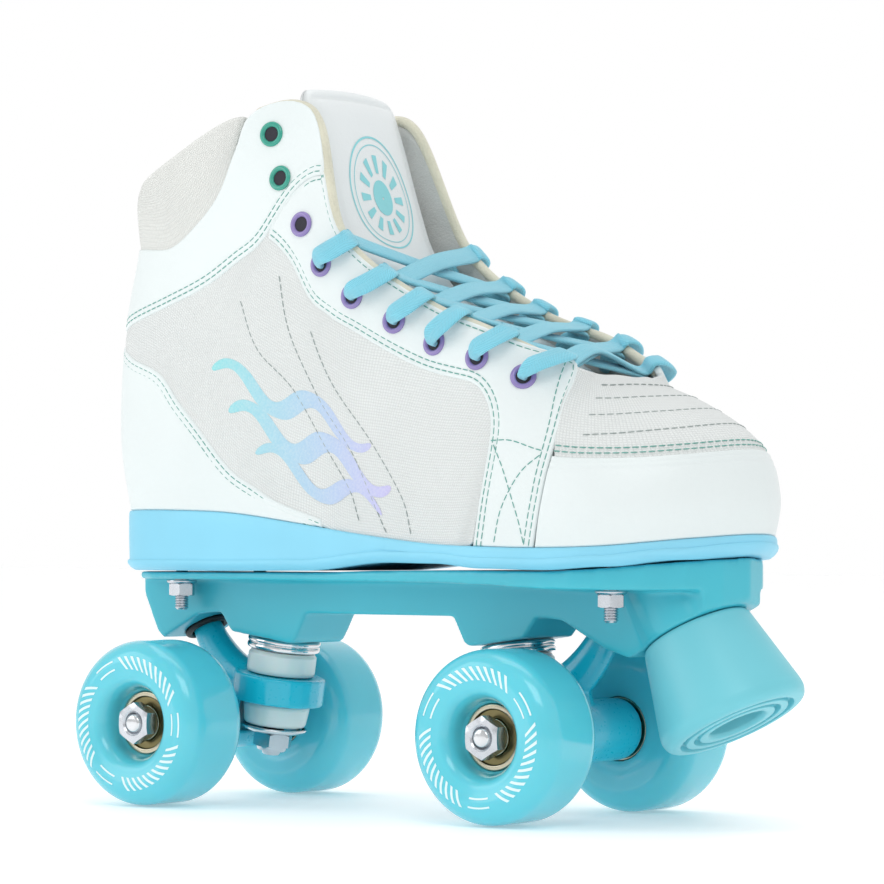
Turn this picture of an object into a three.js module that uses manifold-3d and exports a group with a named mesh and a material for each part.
// A quad roller skate: a laced ankle boot on a moulded plate with two steering trucks, four wheels and a toe
// stop.
// Millimetres. +X points to the toe, +Y to the wearer's left, +Z up. The wheels stand on z = 0.
import * as THREE from "three";
import { mergeVertices } from "three/addons/utils/BufferGeometryUtils.js";
import Module from "manifold-3d";

const wasm = await Module();
wasm.setup();
const { cos, sin, tan, PI } = Math;
const degrees = PI / 180;

// ---- Driving dimensions ------------------------------------------------------------------------------

const gap = 0.3; // left between pieces that meet

// running gear
const wheelBase = 150; // axle to axle
const track = 83.6; // between the middles of the two wheels of one axle
const wheel = { radius: 29, width: 31.6, shoulder: 7.9, hubMouth: 14, hubDepth: 9, innerRecess: 1 };
const bearing = { radius: 11, bore: 4.3, width: 7 };
const axle = { radius: 4, stickOut: 1.8 }; // stickOut: how far its ends stay inside the wheels' outer faces
const axleNut = { acrossFlats: 13, height: 6.4 };
const beam = { radius: 10.8, bossRadius: 6.5 };

// kingpin stack, listed from the plate down; places in a truck are measured from the axle towards the
// skate's middle
const kingpin = { radius: 4, seatX: 24.1, seatZ: 58.9, lean: 8.3 * degrees, intoPlate: 11, below: 1.5 };
const stack = { upperWasher: 4.2, upperCushion: 8.6, ring: 10, lowerCushion: 8, lowerWasher: 2.2, nut: 6.6 };
const ring = { radius: 16.5, bore: 6.2 };
const cushion = { upperRadius: 12.3, lowerRadius: 12, taper: 1 };
const washer = { upperRadius: 13.2, lowerRadius: 12.2 };
const kingpinNut = { acrossFlats: 13 };
const pivot = { x: -12.3, z: 62.5, lean: 62 * degrees, cupRadius: 7.5, cupWall: 1.5, cupDepth: 9, lip: 1.6 };
const stem = { radius: 5.2, reach: 2 }; // the rounded end of the hanger that sits in the pivot cup

// plate
const plate = {
  spineHalfWidth: 15, spineZ: 67.7, lowest: 40, inset: 3.4,
  rearHousingX: -33, rearBossEnd: 42, frontBossEnd: 38, frontX: 142.3,
};
const toeStop = {
  x: 123, z: 63.9, lean: 62 * degrees, topRadius: 18.8, bottomRadius: 25.5, length: 34.7,
  hole: 9.7, holeDepth: 13,
};
const toeBolt = { radius: 4, headRadius: 7.2, headHeight: 7, intoPlate: 15 };
const mountBolt = {
  radius: 2.5, headRadius: 6, headHeight: 1.8, rearX: -80.6, rearY: 22.3, frontX: 106.6, frontY: 26.2,
};
const mountNut = { flangeRadius: 5.4, flangeHeight: 1.2, acrossFlats: 8.5, height: 4.4, threadBelow: 5 };

// boot
const leather = 2.4; // thickness of an upper panel
const padding = 8; // thickness of the collar
const soleLength = 258;
const ballWidth = 93;
const shaftHeight = 140; // from the heel seat to the top of the facing
const toeSwing = 4; // how far the toe tip leans to the inner side of the foot
const eyeletBore = 3.3;
const insoleThickness = 3;
const tongue = { thickness: 7, halfWidth: 25, sag: 4, hingeZ: 214 };
const lace = { width: 7, thickness: 1.3, holeWidth: 2.8, holeThickness: 1.3 };

// Underside of the outsole and top of the plate, as heights along the skate.
const soleUnderside = [
  [-120, 82.5], [-60, 82.5], [-18, 82.9], [22, 86], [45, 85.8], [66, 84.3], [90, 84], [113, 85.3],
  [132, 87.6], [150, 90.2],
];
const plateTop = [
  [-120, 82], [-60, 82], [-18, 82.3], [22, 83.3], [45, 83.6], [66, 83.7], [90, 83.6], [113, 84.9],
  [132, 87.2], [150, 89.6],
];
const flangeUnderside = [[-120, 79.3], [-60, 79.4], [45, 79.4], [66, 78.8], [88, 77.7], [150, 77.5]];

// The boot's outer surface, drawn at the sizes below. Each station is a line up the wall, from the sole to
// the top edge or, at the toe, to the edge of the throat: five points of x, half width and height. Stations
// run from the middle of the heel to the toe tip.
const drawn = { length: 258, width: 93, heelSeat: 104, height: 140 };
const stations = [
  [[-112, 0, 104], [-116, 0, 130], [-115, 0, 168], [-108, 0, 200], [-110, 0, 218]],
  [[-103, 24, 104], [-106, 26, 130], [-105, 25.5, 168], [-98.5, 25.5, 200], [-99, 26, 220]],
  [[-80, 33, 104], [-82, 35, 130], [-80, 34, 168], [-75, 33.5, 202], [-76, 35, 229]],
  [[-50, 33.5, 103], [-51, 36, 130], [-50, 36, 168], [-47, 36, 206], [-46, 37, 241]],
  [[-20, 34, 99.5], [-22, 36.5, 126], [-22, 37.5, 162], [-20, 37, 205], [-16.5, 31, 244]],
  [[12, 37, 95.5], [9, 39, 118], [6, 39.5, 146], [3, 39, 175], [2, 38.3, 200]],
  [[44, 42, 92.5], [42, 43, 110], [39, 42, 132], [37, 39.5, 154], [36, 36.5, 175.5]],
  [[68, 44.8, 91.6], [67, 45.8, 108], [66, 45, 127], [66, 42, 146], [66, 38.3, 164]],
  [[88, 46, 91.3], [88, 47, 106], [88, 45, 122], [89, 38, 139], [91, 27, 152.5]],
  [[113, 43.5, 92], [114, 45, 107], [111, 41, 122], [104, 30, 138], [94.5, 17, 150]],
  [[135, 26.5, 94.5], [136, 28, 109], [131.5, 25.5, 124.5], [116, 17.5, 139], [96, 8.5, 150]],
  [[145, 0, 96], [146, 0, 111], [141, 0, 127], [122, 0, 140], [97, 0, 149.5]],
];
const toeStation = stations.length - 1;

// Seams as [station, share of the way up] points. Panels that meet along a seam share its points.
const counterSeam = [
  [0, 0.475], [0.75, 0.475], [1.4, 0.437], [2, 0.4], [2.35, 0.335], [2.67, 0.265], [3.09, 0.15], [3.45, 0.1],
  [3.8, 0.06], [4.4, 0.03],
];
const ankleSeam = [
  [0, 0.475], [0.75, 0.503], [1.3, 0.525], [1.95, 0.558], [2.6, 0.596], [3.1, 0.648], [3.58, 0.7],
  [4.1, 0.84], [4.42, 0.94], [4.52, 0.99],
];
const collarSeam = [
  [0, 0.742], [0.69, 0.742], [1.3, 0.73], [1.88, 0.718], [2.35, 0.76], [2.75, 0.825], [3.03, 0.928],
];
const ankleEdge = [...collarSeam, [3.24, 1], [3.9, 1], [4.5, 1]];
const facingSeam = [
  [3.64, 0.697], [4.05, 0.667], [4.44, 0.638], [4.86, 0.672], [5.28, 0.705], [5.9, 0.725], [6.5, 0.738],
  [6.9, 0.725], [7.14, 0.62], [7.16, 0.466], [6.95, 0.2], [6.78, 0],
];
const facingEdge = [
  [3.64, 0.716], [4.1, 0.84], [4.42, 0.94], [4.58, 0.995], [5.2, 1], [5.9, 1], [6.6, 1], [7.3, 1], [8.1, 1],
  [8.25, 0.6], [8.16, 0.3], [8, 0],
];
const quarterFoot = [[4.75, 0], [5.15, 0], [5.55, 0], [5.9, 0], [6.2, 0], [6.45, 0], [6.6, 0], [6.7, 0]];
const toeCapSeam = [
  [8.275, 0.5], [8.7, 0.487], [9.15, 0.477], [9.6, 0.467], [10.1, 0.462], [10.55, 0.458], [toeStation, 0.455],
];
const toeCapFoot = 8.03; // where the toe cap and the vamp start behind the toe, at the sole and at the throat
const vampTop = 8.13;
const seamSteps = 2; // how many strips are laid between two points of a seam
const eyelets = [
  [3.52, 0.93], [3.74, 0.826], [4.21, 0.766], [4.67, 0.777], [5.2, 0.822], [5.7, 0.85], [6.22, 0.855],
  [6.86, 0.853], [7.5, 0.84],
];
const firstLacedRow = 3;
const ankleRows = 2; // the eyelets above the ankle seam

// The middle of the tongue's upper face, from the throat to its free end, as [x, z], drawn like the stations.
const tongueLine = [
  [95, 141], [80, 147.5], [68, 154], [55, 161], [41, 167.5], [24, 174.8], [8, 183.5], [-3, 197], [-9, 214],
  [-15, 235], [-21, 254],
];

// ---- Materials ---------------------------------------------------------------------------------------

const finish = (color, roughness, metalness = 0) =>
  new THREE.MeshStandardMaterial({ color, roughness, metalness });
const looks = {
  leather: () => finish(0xeff4f4, 0.45),
  canvas: () => finish(0xebebe6, 0.85),
  lining: () => finish(0xdcdcd4, 0.95),
  lace: () => finish(0x6ecde8, 0.8),
  sole: () => finish(0x9bdef3, 0.5),
  nylon: () => finish(0x5cbccb, 0.4),
  hanger: () => finish(0x3dbdd2, 0.35),
  urethane: () => finish(0x8cdce8, 0.25),
  stopper: () => finish(0x8cd7e1, 0.45),
  cushion: () => finish(0xe4e6e2, 0.4),
  rubber: () => finish(0x16181a, 0.7),
  steel: () => finish(0xc8ccd0, 0.25, 1),
  bearing: () => finish(0x8f8a78, 0.3, 1),
};

// ---- Solids ------------------------------------------------------------------------------------------

// A closed geometry as a solid that can be cut and joined, with its faces pointing out.
function solid(geometry) {
  const bare = geometry.index ? geometry.toNonIndexed() : geometry.clone();
  bare.deleteAttribute("normal");
  bare.deleteAttribute("uv");
  const merged = mergeVertices(bare, 1e-3);
  const mesh = {
    numProp: 3,
    vertProperties: merged.attributes.position.array,
    triVerts: new Uint32Array(merged.index.array),
  };
  const made = new wasm.Manifold(new wasm.Mesh(mesh));
  if (made.volume() > 0) return made;
  mesh.triVerts.reverse();
  return new wasm.Manifold(new wasm.Mesh(mesh));
}

const union = (solids) => solids.reduce((all, next) => all.add(next));
const cut = (body, tools) => tools.reduce((left, tool) => left.subtract(tool), body);

function geometryOf(body) {
  const { vertProperties, triVerts } = body.getMesh();
  const geometry = new THREE.BufferGeometry();
  geometry.setAttribute("position", new THREE.BufferAttribute(new Float32Array(vertProperties), 3));
  geometry.setIndex(new THREE.BufferAttribute(new Uint32Array(triVerts), 1));
  geometry.computeVertexNormals();
  return geometry;
}

// A triangle mesh from a list of points and a list of index triples.
function meshGeometry(points, triangles) {
  const geometry = new THREE.BufferGeometry().setFromPoints(points);
  geometry.setIndex(triangles.flat());
  return geometry;
}

// A body turned about the Y axis, from [radius, y] points of a closed profile or one that ends on the axis.
const turned = (profile, segments) =>
  new THREE.LatheGeometry(profile.map(([radius, y]) => new THREE.Vector2(radius, y)), segments);

const tube = (outer, inner, from, to, segments) =>
  turned([[inner, from], [outer, from], [outer, to], [inner, to], [inner, from]], segments);

const rod = (radius, from, to, segments) =>
  turned([[0, from], [radius, from], [radius, to], [0, to]], segments);

// A hexagonal nut between two heights on the Y axis, with a round hole.
const hexagon = (acrossFlats, from, to) => solid(rod(acrossFlats / 2 / cos(PI / 6), from, to, 6));

// Moves a geometry drawn about the Y axis so that its axis runs along a direction from a point.
function along(geometry, from, direction) {
  const upright = new THREE.Vector3(0, 1, 0);
  const turn = new THREE.Quaternion().setFromUnitVectors(upright, direction.clone().normalize());
  return geometry.applyQuaternion(turn).translate(from.x, from.y, from.z);
}

// A flat outline in X and Z, [x, z] points, made as thick as twice the half width about y = 0.
function sidePlate(outline, halfWidth) {
  const shape = new THREE.Shape(outline.map(([x, z]) => new THREE.Vector2(x, z)));
  const geometry = new THREE.ExtrudeGeometry(shape, { depth: 2 * halfWidth, bevelEnabled: false });
  return geometry.rotateX(PI / 2).translate(0, halfWidth, 0);
}

// A round bar along a path, with its own radius at each point.
function bar(path, radii, perLeg, sides = 12) {
  const curve = new THREE.CatmullRomCurve3(path);
  const steps = perLeg * (path.length - 1);
  const frames = curve.computeFrenetFrames(steps);
  const points = [];
  for (let i = 0; i <= steps; i++) {
    const at = curve.getPoint(i / steps);
    const place = (i / steps) * (path.length - 1);
    const low = Math.min(Math.floor(place), path.length - 2);
    const radius = radii[low] + (radii[low + 1] - radii[low]) * (place - low);
    const side = new THREE.Vector3(0, 1, 0);
    const up = new THREE.Vector3().crossVectors(frames.tangents[Math.min(i, steps)], side).normalize();
    for (let k = 0; k < sides; k++) {
      const angle = (2 * PI * k) / sides;
      const round = at.clone().addScaledVector(side, radius * cos(angle));
      points.push(round.addScaledVector(up, radius * sin(angle)));
    }
  }
  return loopsGeometry(points, sides);
}

// Closes a stack of loops of equal count with a fan at each end.
function loopsGeometry(points, count) {
  const triangles = [];
  const rows = points.length / count;
  for (let i = 0; i + 1 < rows; i++) {
    for (let k = 0; k < count; k++) {
      const [a, b] = [i * count + k, i * count + ((k + 1) % count)];
      triangles.push([a, b, b + count], [a, b + count, a + count]);
    }
  }
  const last = (rows - 1) * count;
  for (let k = 1; k + 1 < count; k++) triangles.push([0, k + 1, k], [last, last + k, last + k + 1]);
  return meshGeometry(points, triangles);
}

// ---- Curves ------------------------------------------------------------------------------------------

// Catmull-Rom blend of four values.
function blend(a, b, c, d, t) {
  return 0.5 * (2 * b + (c - a) * t + (2 * a - 5 * b + 4 * c - d) * t * t + (3 * b - a - 3 * c + d) * t ** 3);
}

// A height read from a list of [x, height] points, joined by a smooth curve.
function heightAt(list, x) {
  const last = list.length - 2;
  let i = 0;
  while (i < last && x > list[i + 1][0]) i++;
  const [x0, z0] = list[i];
  const [x1, z1] = list[i + 1];
  const t = Math.min(Math.max((x - x0) / (x1 - x0), 0), 1);
  return z0 + (z1 - z0) * t * t * (3 - 2 * t);
}

// A point part of the way, from 0 to 1, along a polyline of [a, b] points, each leg counting the same.
function alongSeam(seam, share) {
  const place = share * (seam.length - 1);
  const i = Math.min(Math.floor(place), seam.length - 2);
  const t = place - i;
  return [0, 1].map((n) => seam[i][n] + (seam[i + 1][n] - seam[i][n]) * t);
}

// ---- The boot's wall ---------------------------------------------------------------------------------

// A drawn x or height at the boot's real size.
const bootX = (x) => (x * soleLength) / drawn.length;
const bootZ = (z) => drawn.heelSeat + ((z - drawn.heelSeat) * shaftHeight) / drawn.height;

// A point on the boot's outer surface. q is the station, negative on the right side (-Y); past the toe it
// comes back on the other side. v runs from 0 at the sole to 1 at the top edge.
function wall(q, v) {
  const around = q < -toeStation ? q + 2 * toeStation : q;
  const side = around < 0 ? -1 : 1;
  const t = Math.abs(around);
  const column = Math.min(Math.floor(t), toeStation - 1);
  const station = (i) => {
    if (i < 0) return stations[-i].map(([x, y, z]) => [x, -y, z]);
    if (i > toeStation) return stations[2 * toeStation - i].map(([x, y, z]) => [x, -y, z]);
    return stations[i];
  };
  const four = [-1, 0, 1, 2].map((n) => station(column + n));
  const rows = stations[0].map((_, row) =>
    [0, 1, 2].map((n) => blend(...four.map((s) => s[row][n]), t - column)));
  const place = v * (rows.length - 1);
  const low = Math.min(Math.max(Math.floor(place), 0), rows.length - 2);
  const before = rows[low - 1] ?? rows[0].map((c, n) => 2 * c - rows[1][n]);
  const after = rows[low + 2] ?? rows[low + 1].map((c, n) => 2 * c - rows[low][n]);
  const [x, y, z] = [0, 1, 2].map((n) =>
    blend(before[n], rows[low][n], rows[low + 1][n], after[n], place - low));
  const swing = toeSwing * Math.max(0, (x - 20) / 126) ** 2;
  return new THREE.Vector3(
    bootX(x),
    (side * y * ballWidth) / drawn.width + swing,
    bootZ(z),
  );
}

// The outward direction there.
function wallNormal(q, v) {
  const step = 0.02;
  const [low, high] = [Math.max(v - step, 0), Math.min(v + step, 1)];
  const round = wall(q + step, v).sub(wall(q - step, v));
  const up = wall(q, high).sub(wall(q, low));
  return up.cross(round).normalize();
}

// A panel of the upper between two seams with as many points each, as a closed slab. It keeps a little clear
// of both seams, and its sides follow the wall's normals, so that neighbours don't meet.
function panel(lower, upper, rows, thickness = leather) {
  const columns = seamSteps * (lower.length - 1);
  const points = [];
  for (let i = 0; i <= columns; i++) {
    const share = i / columns;
    const [bottom, top] = [alongSeam(lower, share), alongSeam(upper, share)];
    const height = wall(...top).distanceTo(wall(...bottom));
    const margin = Math.min((0.6 * gap) / Math.max(height, 1), 0.2);
    for (let j = 0; j <= rows; j++) {
      const t = margin + (1 - 2 * margin) * (j / rows);
      const q = bottom[0] + (top[0] - bottom[0]) * t;
      const v = bottom[1] + (top[1] - bottom[1]) * t;
      const outer = wall(q, v);
      points.push(outer, outer.clone().addScaledVector(wallNormal(q, v), -thickness));
    }
  }
  return slab(points, columns, rows);
}

// A closed slab from a grid of [outer, inner] point pairs.
function slab(points, columns, rows) {
  const at = (i, j, layer) => 2 * (i * (rows + 1) + j) + layer;
  const triangles = [];
  const quad = (a, b, c, d) => triangles.push([a, b, c], [a, c, d]);
  for (let i = 0; i < columns; i++) {
    for (let j = 0; j < rows; j++) {
      quad(at(i, j, 0), at(i + 1, j, 0), at(i + 1, j + 1, 0), at(i, j + 1, 0));
      quad(at(i, j, 1), at(i, j + 1, 1), at(i + 1, j + 1, 1), at(i + 1, j, 1));
    }
    quad(at(i, 0, 0), at(i, 0, 1), at(i + 1, 0, 1), at(i + 1, 0, 0));
    quad(at(i, rows, 0), at(i + 1, rows, 0), at(i + 1, rows, 1), at(i, rows, 1));
  }
  for (let j = 0; j < rows; j++) {
    quad(at(0, j, 0), at(0, j + 1, 0), at(0, j + 1, 1), at(0, j, 1));
    quad(at(columns, j, 0), at(columns, j, 1), at(columns, j + 1, 1), at(columns, j + 1, 0));
  }
  return meshGeometry(points, triangles);
}

const onSide = (side, seam) => seam.map(([q, v]) => [side * q, v]);
// A seam drawn on both sides, through the middle of the heel or over the toe.
const bothSides = (seam) => [...onSide(-1, seam).reverse(), ...seam.slice(1)];
const overToe = (seam) => {
  const back = seam.slice(0, -1).reverse();
  return [...onSide(-1, seam), ...back.map(([q, v]) => [q - 2 * toeStation, v])];
};
// Evenly spread points at one height, from the heel's middle to a station, or from a station over the toe.
const level = (to, v, steps) => Array.from({ length: steps + 1 }, (_, i) => [(to * i) / steps, v]);
const acrossToe = (from, v, steps) =>
  overToe(Array.from({ length: steps + 1 }, (_, i) => [from + ((toeStation - from) * i) / steps, v]));

// ---- Layers cut to the sole's outline ----------------------------------------------------------------

// The line where the upper meets the sole, moved out by an offset, at a station on one side.
function outline(q, offset) {
  const at = wall(q, 0);
  const ahead = wall(q + 0.02, 0).sub(wall(q - 0.02, 0));
  const out = new THREE.Vector3(-ahead.y, ahead.x, 0).normalize();
  return at.addScaledVector(out, offset);
}

// A solid between stacked levels, each an offset outline with a height for every x. Both caps are ladders of
// quads from one side of the foot to the other, so that they can follow a curved height.
function layered(levels, perStation = 2) {
  const steps = toeStation * perStation;
  const count = 2 * steps;
  const points = [];
  for (const { offset, height } of levels) {
    for (let k = 0; k < count; k++) {
      const q = k <= steps ? -k / perStation : -k / perStation + 2 * toeStation;
      const at = outline(q === 0 ? 1e-6 : q, offset);
      points.push(new THREE.Vector3(at.x, at.y, height(at.x)));
    }
  }
  const triangles = [];
  const quad = (a, b, c, d) => triangles.push([a, b, c], [a, c, d]);
  for (let i = 0; i + 1 < levels.length; i++) {
    for (let k = 0; k < count; k++) {
      const [a, b] = [i * count + k, i * count + ((k + 1) % count)];
      quad(a, b, b + count, a + count);
    }
  }
  const top = (levels.length - 1) * count;
  for (let k = 0; k < steps; k++) {
    const [a, b] = [k, k + 1];
    const [c, d] = [count - k - 1, (count - k) % count];
    if (k === 0) triangles.push([0, c, b], [top, top + b, top + c]);
    else if (k === steps - 1) triangles.push([a, d, b], [top + a, top + b, top + d]);
    else {
      triangles.push([a, d, c], [a, c, b]);
      triangles.push([top + a, top + c, top + d], [top + a, top + b, top + c]);
    }
  }
  return meshGeometry(points, triangles);
}

// ---- Model -------------------------------------------------------------------------------------------

const skate = new THREE.Group();
const rest = new THREE.Group(); // moves the finished skate over its origin
rest.add(skate);

function place(name, shape, material, parent = skate) {
  const mesh = new THREE.Mesh(geometryOf(shape.isBufferGeometry ? solid(shape) : shape), material);
  mesh.name = name;
  parent.add(mesh);
  return mesh;
}

// Wheels: the hub is deep on the outer side, and the inner bearing lies near the inner face.
function wheelProfile() {
  const half = wheel.width / 2;
  const { radius, shoulder, hubMouth, hubDepth, innerRecess } = wheel;
  const bore = bearing.radius + gap;
  const rounded = (sign) =>
    [0, 1, 2, 3].map((i) => {
      const angle = (PI / 6) * i;
      return [radius - shoulder + shoulder * sin(angle), sign * (half - shoulder + shoulder * cos(angle))];
    });
  const outer = [[bore, half - hubDepth - 0.5], [hubMouth, half - 2.4], [hubMouth + 2.4, half - 0.7]];
  const inner = [[hubMouth + 1, -half], [bore, -half + innerRecess - 0.5]];
  const loop = [...outer, ...rounded(1), ...rounded(-1).reverse(), ...inner];
  return [...loop, loop[0]];
}

const outerBearingY = wheel.width / 2 - wheel.hubDepth - bearing.width;
const innerBearingY = -wheel.width / 2 + wheel.innerRecess;

function addWheel(parent, name, side) {
  const corner = new THREE.Group();
  corner.position.set(0, (side * track) / 2, wheel.radius);
  corner.rotation.z = side > 0 ? 0 : PI;
  parent.add(corner);
  place(`wheel_${name}`, turned(wheelProfile(), 32), looks.urethane(), corner);
  for (const [label, y] of [["outer", outerBearingY], ["inner", innerBearingY]]) {
    const ring = tube(bearing.radius, bearing.bore, y, y + bearing.width, 20);
    place(`bearing_${label}_${name}`, ring, looks.bearing(), corner);
  }
  const nutFrom = outerBearingY + bearing.width + gap;
  const nut = hexagon(axleNut.acrossFlats, nutFrom, nutFrom + axleNut.height);
  const hole = solid(rod(axle.radius + gap, nutFrom - 1, nutFrom + axleNut.height + 1, 16));
  place(`axle_nut_${name}`, nut.subtract(hole), looks.steel(), corner);
}

// Kingpin line in a truck: depth 0 is the plate's seat.
const kingpinDown = new THREE.Vector3(-sin(kingpin.lean), 0, -cos(kingpin.lean));
const kingpinAt = (depth) =>
  new THREE.Vector3(kingpin.seatX, 0, kingpin.seatZ).addScaledVector(kingpinDown, depth);
const stackDepth = {};
let depthSoFar = gap;
for (const [name, height] of Object.entries(stack)) {
  stackDepth[name] = depthSoFar;
  depthSoFar += height + gap;
}
const kingpinBore = kingpin.radius + gap;

// Pivot line in a truck: distance 0 is the mouth of the pivot cup, and it runs up into the plate.
const pivotUp = new THREE.Vector3(-cos(pivot.lean), 0, sin(pivot.lean));
const pivotAt = (distance) => new THREE.Vector3(pivot.x, 0, pivot.z).addScaledVector(pivotUp, distance);

// A piece of the kingpin stack, drawn about the Y axis from depth 0 and laid along the kingpin.
const onKingpin = (geometry, depth) => along(geometry, kingpinAt(depth), kingpinDown);

function hangerSolid() {
  const inner = track / 2 - wheel.width / 2;
  const beamEnd = inner - gap;
  const bossEnd = inner + wheel.innerRecess - gap;
  const axleHeight = wheel.radius;
  const body = solid(rod(beam.radius, -beamEnd, beamEnd, 24).translate(0, 0, axleHeight));
  const boss = solid(rod(beam.bossRadius, -bossEnd, bossEnd, 16).translate(0, 0, axleHeight));
  const loop = solid(onKingpin(rod(ring.radius, 0, stack.ring, 24), stackDepth.ring));
  const middle = kingpinAt(stackDepth.ring + stack.ring / 2);
  const neckPath = [
    new THREE.Vector3(middle.x - 8, 0, middle.z + 0.5),
    new THREE.Vector3(3, 0, middle.z + 4.5),
    new THREE.Vector3(-5.2, 0, middle.z + 11.5),
    pivotAt(-3),
    pivotAt(stem.reach),
  ];
  const neck = solid(bar(neckPath, [7.6, 7.4, 6.6, 5.6, stem.radius], 3));
  const tip = pivotAt(stem.reach);
  const ball = solid(new THREE.SphereGeometry(stem.radius, 12, 8).translate(tip.x, tip.y, tip.z));
  const riser = [new THREE.Vector3(0, 0, axleHeight), new THREE.Vector3(2.5, 0, middle.z + 3)];
  const column = solid(bar(riser, [8.5, 7.2], 1));
  const shelf = solid(sidePlate([
    [-4, axleHeight + 4], [middle.x - 9, middle.z + 3.5], [middle.x - 9, middle.z - 4.5], [4, axleHeight - 3],
  ], 9));
  return cut(union([body, boss, loop, neck, ball, column, shelf]), [
    solid(onKingpin(rod(ring.bore, -2, stack.ring + 2, 20), stackDepth.ring)),
    solid(onKingpin(rod(cushion.upperRadius + 1.2, -12, 0, 20), stackDepth.ring)),
    solid(onKingpin(rod(cushion.lowerRadius + 1.2, 0, 12, 20), stackDepth.ring + stack.ring)),
    solid(rod(axle.radius + gap, -track, track, 16).translate(0, 0, axleHeight)),
  ]);
}

function addTruck(name, x) {
  const truck = new THREE.Group();
  truck.position.x = x;
  truck.rotation.z = x > 0 ? PI : 0;
  skate.add(truck);

  place(`hanger_${name}`, hangerSolid(), looks.hanger(), truck);
  const reach = track / 2 + wheel.width / 2 - axle.stickOut;
  const axleRod = rod(axle.radius, -reach, reach, 16).translate(0, 0, wheel.radius);
  place(`axle_${name}`, axleRod, looks.steel(), truck);

  const last = stackDepth.nut + stack.nut + kingpin.below;
  const pin = rod(kingpin.radius, -kingpin.intoPlate + gap, last, 16);
  place(`kingpin_${name}`, onKingpin(pin, 0), looks.steel(), truck);
  const nut = hexagon(kingpinNut.acrossFlats, 0, stack.nut);
  const nutHole = solid(rod(kingpinBore, -1, stack.nut + 1, 16));
  const bored = geometryOf(nut.subtract(nutHole));
  place(`kingpin_nut_${name}`, onKingpin(bored, stackDepth.nut), looks.steel(), truck);

  const round = (radius, part, end) => {
    const height = stack[part];
    const section = [[kingpinBore, 0], [radius, 0], [end, height], [kingpinBore, height], [kingpinBore, 0]];
    return turned(section, 24);
  };
  const pieces = [
    ["washer_upper", "upperWasher", washer.upperRadius, washer.upperRadius, looks.steel()],
    ["cushion_upper", "upperCushion", cushion.upperRadius, cushion.upperRadius, looks.cushion()],
    ["cushion_lower", "lowerCushion", cushion.lowerRadius, cushion.lowerRadius - cushion.taper,
      looks.cushion()],
    ["washer_lower", "lowerWasher", washer.lowerRadius, washer.lowerRadius, looks.steel()],
  ];
  for (const [label, part, radius, end, material] of pieces) {
    place(`${label}_${name}`, onKingpin(round(radius, part, end), stackDepth[part]), material, truck);
  }

  const { cupRadius, cupWall, cupDepth, lip } = pivot;
  const cup = turned([
    [0, cupDepth], [cupRadius, cupDepth], [cupRadius, 0], [cupRadius + 0.8, -gap], [cupRadius + 0.8, -lip],
    [cupRadius - cupWall, -lip], [cupRadius - cupWall, cupDepth - cupWall], [0, cupDepth - cupWall],
  ], 20);
  place(`pivot_cup_${name}`, along(cup, pivotAt(0), pivotUp), looks.rubber(), truck);

  for (const [side, label] of [[1, "left"], [-1, "right"]]) {
    addWheel(truck, `${name}_${label}`, x > 0 ? -side : side);
  }
}

// Plate: a flange cut to the sole's outline, a spine with a boss for each kingpin and pivot, and the toe
// stop's seat.
const toeAxis = new THREE.Vector3(cos(toeStop.lean), 0, -sin(toeStop.lean));
const toeAt = (distance) => new THREE.Vector3(toeStop.x, 0, toeStop.z).addScaledVector(toeAxis, distance);

function plateSolid() {
  const top = (x) => heightAt(plateTop, x);
  const envelope = solid(layered([
    { offset: -plate.inset, height: () => plate.lowest },
    { offset: -plate.inset, height: top },
  ]));
  const flange = solid(layered([
    { offset: -plate.inset, height: (x) => heightAt(flangeUnderside, x) },
    { offset: -plate.inset, height: top },
  ]));
  const front = wheelBase / 2;
  const inside = 81; // a height inside the flange
  const seat = (x) => kingpin.seatZ - (x - kingpin.seatX) * tan(kingpin.lean);
  const mouth = (across) => {
    const at = pivotAt(0);
    return [at.x + across * sin(pivot.lean), at.z + across * cos(pivot.lean)];
  };
  const housing = pivot.cupRadius + 2;
  const truckProfile = (bossEnd) => {
    const [seatFrom, seatTo] = [kingpin.seatX - 13, bossEnd - 4];
    return [
      mouth(-housing), mouth(housing), [6, 67.8], [seatFrom, seat(seatFrom)], [seatTo, seat(seatTo)],
      [bossEnd - 2, 58.4], [bossEnd + 3, plate.spineZ],
    ];
  };
  const rear = [[plate.rearHousingX, inside], [-23.4, 60.4], ...truckProfile(plate.rearBossEnd)];
  const ahead = truckProfile(plate.frontBossEnd).reverse();
  const stopTop = toeAt(0);
  const across = (distance) => [
    stopTop.x + distance * sin(toeStop.lean),
    stopTop.z + distance * cos(toeStop.lean),
  ];
  const spine = [
    ...rear.map(([x, z]) => [x - front, z]),
    ...ahead.map(([x, z]) => [front - x, z]),
    across(-toeStop.topRadius - 0.5), across(toeStop.topRadius + 0.5),
    [plate.frontX, 76], [plate.frontX, inside],
  ];
  const web = solid(sidePlate(spine, plate.spineHalfWidth));
  const stopSeat = solid(along(rod(toeStop.topRadius + 0.5, 0, 30, 28), toeAt(0), toeAxis.clone().negate()));
  const holes = [];
  for (const x of [-front, front]) {
    const turn = (geometry) => geometry.rotateZ(x > 0 ? PI : 0).translate(x, 0, 0);
    const socket = along(rod(pivot.cupRadius + gap, -2, pivot.cupDepth + gap, 20), pivotAt(0), pivotUp);
    holes.push(solid(turn(socket)));
    holes.push(solid(turn(onKingpin(rod(kingpinBore, -kingpin.intoPlate, 2, 16), 0))));
  }
  holes.push(solid(along(rod(toeBolt.radius + gap, -toeBolt.intoPlate - gap, 2, 16), toeAt(0), toeAxis)));
  for (const [x, y] of mountPlaces()) {
    holes.push(solid(rod(mountBolt.radius + gap, 60, 100, 12).rotateX(PI / 2).translate(x, y, 0)));
  }
  return cut(union([flange, web.add(stopSeat).intersect(envelope)]), holes);
}

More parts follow.
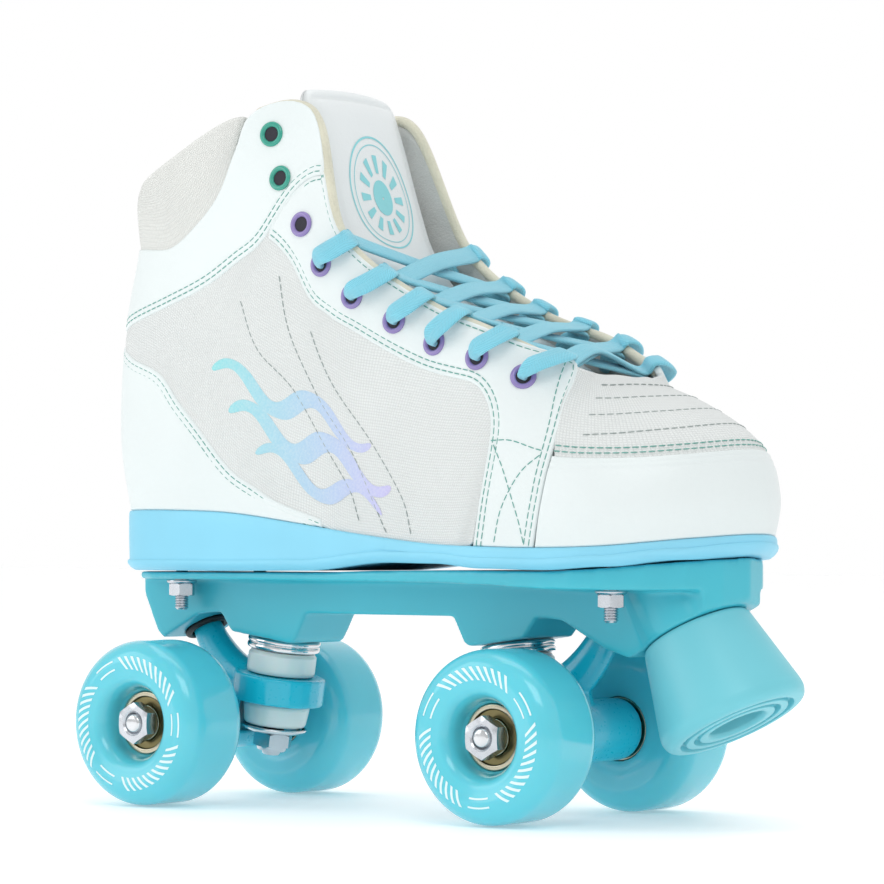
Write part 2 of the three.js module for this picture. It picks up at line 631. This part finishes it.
const mountPlaces = () => {
  const { rearX, rearY, frontX, frontY } = mountBolt;
  return [[rearX, rearY], [rearX, -rearY], [frontX, frontY], [frontX, -frontY]];
};

const seatHeight = (x) => {
  // the sole's top, which is the height of the upper's lower edge at that x
  let [low, high] = [0, toeStation];
  for (let i = 0; i < 30; i++) {
    const middle = (low + high) / 2;
    if (wall(middle, 0).x < x) low = middle;
    else high = middle;
  }
  return wall(low, 0).z - gap;
};

function addSole() {
  const under = (x) => heightAt(soleUnderside, x);
  const body = solid(layered([
    { offset: -1, height: under },
    { offset: 1.3, height: (x) => under(x) + 2.5 },
    { offset: 0.6, height: (x) => seatHeight(x) - 0.8 },
    { offset: 0, height: seatHeight },
  ]));
  const { radius, headRadius, headHeight } = mountBolt;
  const bore = (x, y, size, from, sides) =>
    solid(rod(size + gap, from, 130, sides).rotateX(PI / 2).translate(x, y, 0));
  const holes = mountPlaces().flatMap(([x, y]) => [
    bore(x, y, radius, 60, 12),
    bore(x, y, headRadius, seatHeight(x) - headHeight - 2 * gap, 16),
  ]);
  place("outsole", cut(body, holes), looks.sole());
  const inside = -leather - 2 * gap;
  place("insole", layered([
    { offset: inside, height: (x) => seatHeight(x) + gap },
    { offset: inside, height: (x) => seatHeight(x) + gap + insoleThickness },
  ]), looks.lining());
}

function addPlate() {
  place("plate", plateSolid(), looks.nylon());
  const { topRadius, bottomRadius, length, hole, holeDepth } = toeStop;
  const bore = toeBolt.radius + gap;
  const loop = [
    [bore, gap], [topRadius - 0.8, gap], [topRadius, 1.2], [bottomRadius, length - 5],
    [bottomRadius - 0.8, length - 1.8], [bottomRadius - 3.6, length], [hole, length],
    [hole, length - holeDepth], [bore, length - holeDepth],
  ];
  place("toe_stop", along(turned([...loop, loop[0]], 36), toeAt(0), toeAxis), looks.stopper());
  const headFrom = length - holeDepth + gap;
  const headTo = headFrom + toeBolt.headHeight;
  const bolt = turned([
    [0, -toeBolt.intoPlate], [toeBolt.radius, -toeBolt.intoPlate], [toeBolt.radius, headFrom],
    [toeBolt.headRadius, headFrom], [toeBolt.headRadius, headTo], [0, headTo],
  ], 20);
  place("toe_stop_bolt", along(bolt, toeAt(0), toeAxis), looks.steel());

  const names = ["rear_left", "rear_right", "front_left", "front_right"];
  mountPlaces().forEach(([x, y], i) => {
    const underFlange = heightAt(flangeUnderside, x) - gap;
    const { flangeRadius, flangeHeight, acrossFlats, height, threadBelow } = mountNut;
    const headTop = seatHeight(x) - gap;
    const low = underFlange - flangeHeight - height - threadBelow;
    const shape = turned([
      [0, low], [mountBolt.radius, low], [mountBolt.radius, headTop - mountBolt.headHeight],
      [mountBolt.headRadius, headTop - mountBolt.headHeight], [mountBolt.headRadius, headTop], [0, headTop],
    ], 14).rotateX(PI / 2);
    place(`mount_bolt_${names[i]}`, shape.translate(x, y, 0), looks.steel());
    const bottom = underFlange - flangeHeight - height;
    const nut = cut(union([
      solid(rod(flangeRadius, underFlange - flangeHeight, underFlange, 20)),
      hexagon(acrossFlats, bottom, underFlange - flangeHeight / 2),
    ]), [solid(rod(mountBolt.radius + gap, bottom - 1, underFlange + 1, 14))]);
    place(`mount_nut_${names[i]}`, geometryOf(nut).rotateX(PI / 2).translate(x, y, 0), looks.steel());
  });
}

// Upper: leather and canvas panels sewn edge to edge.
const eyeletAt = (side, row) => wall(side * eyelets[row][0], eyelets[row][1]);
const eyeletOut = (side, row) => wallNormal(side * eyelets[row][0], eyelets[row][1]);

function eyeletHoles(side, from, to) {
  const holes = [];
  for (let row = from; row < to; row++) {
    holes.push(solid(along(rod(eyeletBore, -6, 6, 12), eyeletAt(side, row), eyeletOut(side, row))));
  }
  return holes;
}

function addUpper() {
  const ankleRowHoles = [-1, 1].flatMap((side) => eyeletHoles(side, 0, ankleRows));
  const counterFoot = level(4.4, 0, counterSeam.length - 1);
  const collarTop = level(3.09, 1, collarSeam.length - 1);
  place("heel_counter", panel(bothSides(counterFoot), bothSides(counterSeam), 3), looks.leather());
  const ankle = solid(panel(bothSides(ankleSeam), bothSides(ankleEdge), 3));
  place("ankle_panel", cut(ankle, ankleRowHoles), looks.leather());
  place("collar", panel(bothSides(collarSeam), bothSides(collarTop), 2, padding), looks.canvas());
  const quarterLow = [...counterSeam.slice(1), ...quarterFoot];
  const quarterHigh = [...ankleSeam.slice(1, 7), ...facingSeam.slice(1, -1), [facingSeam.at(-1)[0], 0.02]];
  for (const [side, name] of [[1, "left"], [-1, "right"]]) {
    const facing = solid(panel(onSide(side, facingSeam), onSide(side, facingEdge), 3));
    place(`facing_${name}`, cut(facing, eyeletHoles(side, ankleRows, eyelets.length)), looks.leather());
    place(`quarter_${name}`, panel(onSide(side, quarterLow), onSide(side, quarterHigh), 3), looks.canvas());
  }
  const around = toeCapSeam.length - 1;
  const foot = acrossToe(toeCapFoot, 0, around);
  const throat = acrossToe(vampTop, 1, around);
  place("toe_cap", panel(foot, overToe(toeCapSeam), 3), looks.leather());
  place("vamp", panel(overToe([[8.3, 0.51], ...toeCapSeam.slice(1)]), throat, 3), looks.canvas());
}

// Tongue: a curved padded strip. Its free end bends, so it is made as two lengths.
function tongueStrip(spine, from, to, steps) {
  const points = [];
  const rows = 6;
  for (let i = 0; i <= steps; i++) {
    const share = from + ((to - from) * i) / steps;
    const middle = spine.getPoint(share);
    const forward = spine.getTangent(share);
    const out = new THREE.Vector3(-forward.z, 0, forward.x).normalize().negate();
    const taper = share > 0.93 ? Math.sqrt(1 - ((share - 0.93) / 0.1) ** 2) : 1;
    const narrow = share < 0.25 ? 0.62 + 1.52 * share : 1;
    for (let j = 0; j <= rows; j++) {
      const across = (2 * j) / rows - 1;
      const drop = tongue.sag * across * across;
      const outer = middle.clone().addScaledVector(out, -drop);
      outer.y = across * tongue.halfWidth * taper * narrow;
      const thickness = tongue.thickness * (1 - 0.45 * across * across);
      points.push(outer, outer.clone().addScaledVector(out, -thickness));
    }
  }
  return slab(points, steps, rows);
}

function tongueShareAt(spine, height) {
  let [low, high] = [0.4, 1];
  for (let i = 0; i < 30; i++) {
    const middle = (low + high) / 2;
    if (spine.getPoint(middle).z < height) low = middle;
    else high = middle;
  }
  return low;
}

function addTongue() {
  const line = tongueLine.map(([x, z]) => new THREE.Vector3(bootX(x), 0, bootZ(z)));
  const spine = new THREE.CatmullRomCurve3(line);
  const split = tongueShareAt(spine, bootZ(tongue.hingeZ));
  place("tongue_lower", tongueStrip(spine, 0.02, split - 0.0015, 14), looks.leather());
  place("tongue_upper", tongueStrip(spine, split + 0.0015, 0.995, 8), looks.leather());
}

// Lace: one flat cord. It lies across the toe end of the throat, and each end then goes under a flap, up over
// the other flap and down through the next eyelet, row by row.
function laceStops() {
  const last = eyelets.length - 1;
  const outside = lace.thickness / 2 + 0.5;
  const inside = -leather - lace.thickness / 2 - 0.7;
  const rowDirection = (side, row) => {
    const [a, b] = [Math.max(row - 1, 0), Math.min(row + 1, last)];
    return eyeletAt(side, b).sub(eyeletAt(side, a)).normalize();
  };
  const stop = (at, across, flat = 1) => ({
    at,
    across,
    width: flat ? lace.width : lace.holeWidth,
    thickness: flat ? lace.thickness : lace.holeThickness,
  });
  const offWall = (side, row, distance, share, ahead) => {
    const [q, v] = eyelets[row];
    const [station, up] = [side * (q + ahead), v + (1 - v) * share];
    return wall(station, up).addScaledVector(wallNormal(station, up), distance);
  };
  // through an eyelet from the outside, ending on the inner face
  const through = (side, row) => {
    const across = rowDirection(side, row);
    const [at, out] = [eyeletAt(side, row), eyeletOut(side, row)];
    return [
      stop(offWall(side, row, outside + 0.9, 0.55, 0.03), across),
      stop(at.clone().addScaledVector(out, 1.9), across, 0),
      stop(at.clone().addScaledVector(out, -leather / 2), across, 0),
      stop(at.clone().addScaledVector(out, -leather - 2.5), across, 0),
      stop(offWall(side, row, inside - 1.4, 0.5, 0.04), across),
    ];
  };
  // over a flap's edge, from inside the throat to the outer face
  const fold = (side, row, ahead) => {
    const edge = (offset) => wall(side * (eyelets[row][0] + ahead + offset), 1);
    const across = edge(0.15).sub(edge(-0.15)).normalize();
    const q = side * (eyelets[row][0] + ahead);
    const out = wallNormal(q, 1);
    const up = wall(q, 1).sub(wall(q, 0.97)).normalize();
    const over = (outwards, upwards) =>
      stop(wall(q, 1).addScaledVector(out, outwards).addScaledVector(up, upwards), across);
    return [over(-leather - 2.9, 2.8), over(-leather / 2, 3.6), over(2.5, 1.8)];
  };
  // beside the middle of the throat, lying flat on the instep and raised by a height
  const crossing = (row, side, height) => {
    const edge = (offset) => wall(eyelets[row][0] + 0.45 + offset, 1);
    const along = edge(0.3).sub(edge(-0.3)).setY(0).normalize();
    const out = new THREE.Vector3(-along.z, 0, along.x);
    return stop(edge(0).setY(side * 6).addScaledVector(out, height), along);
  };
  // one end of the lace, from the row by the toe to the last laced row
  const strand = (start) => {
    const stops = [...through(start, last)];
    let side = start;
    for (let row = last - 1; row >= firstLacedRow; row--) {
      const over = side < 0 ? 2 : -1; // the strand that climbs to the left flap lies on top
      const lift = stop(offWall(side, row + 1, inside - 2.2, 0.95, 0.12), rowDirection(side, row));
      stops.push(lift, crossing(row, side, over), crossing(row, -side, over));
      side = -side;
      stops.push(...fold(side, row, 0.12), ...through(side, row));
    }
    return stops;
  };
  const left = strand(1);
  const right = strand(-1);
  const middle = eyeletAt(1, last).add(eyeletAt(-1, last)).multiplyScalar(0.5);
  const bridgeAt = new THREE.Vector3(middle.x + 2, middle.y, wall(eyelets[last][0], 1).z + 1.2);
  const bridge = stop(bridgeAt, new THREE.Vector3(1, 0, -0.4));
  return [...right.reverse(), ...fold(-1, last, 0.1).reverse(), bridge, ...fold(1, last, 0.1), ...left];
}

function laceGeometry() {
  const stops = laceStops();
  const perLeg = 2;
  const read = (i) => stops[Math.min(Math.max(i, 0), stops.length - 1)];
  const points = [];
  const steps = perLeg * (stops.length - 1);
  const curve = (i, t) => {
    const four = [i - 1, i, i + 1, i + 2].map((n) => read(n).at);
    return new THREE.Vector3(...["x", "y", "z"].map((n) => blend(...four.map((p) => p[n]), t)));
  };
  for (let k = 0; k <= steps; k++) {
    const i = Math.min(Math.floor(k / perLeg), stops.length - 2);
    const t = k / perLeg - i;
    const at = curve(i, t);
    const ahead = curve(i, Math.min(t + 0.05, 1)).sub(curve(i, Math.max(t - 0.05, 0))).normalize();
    const [from, to] = [read(i), read(i + 1)];
    const across = from.across.clone().lerp(to.across, t);
    across.addScaledVector(ahead, -across.dot(ahead)).normalize();
    const flat = new THREE.Vector3().crossVectors(ahead, across);
    const halfWidth = (from.width + (to.width - from.width) * t) / 2;
    const half = (from.thickness + (to.thickness - from.thickness) * t) / 2;
    for (const [a, b] of [[1, 1], [-1, 1], [-1, -1], [1, -1]]) {
      points.push(at.clone().addScaledVector(across, a * halfWidth).addScaledVector(flat, b * half));
    }
  }
  return loopsGeometry(points, 4);
}

addTruck("rear", -wheelBase / 2);
addTruck("front", wheelBase / 2);
addPlate();
addSole();
addUpper();
addTongue();
place("lace", laceGeometry(), looks.lace());

const bounds = new THREE.Box3().setFromObject(rest, true);
const middle = bounds.getCenter(new THREE.Vector3());
skate.position.set(-middle.x, -middle.y, -bounds.min.z);

export default rest;
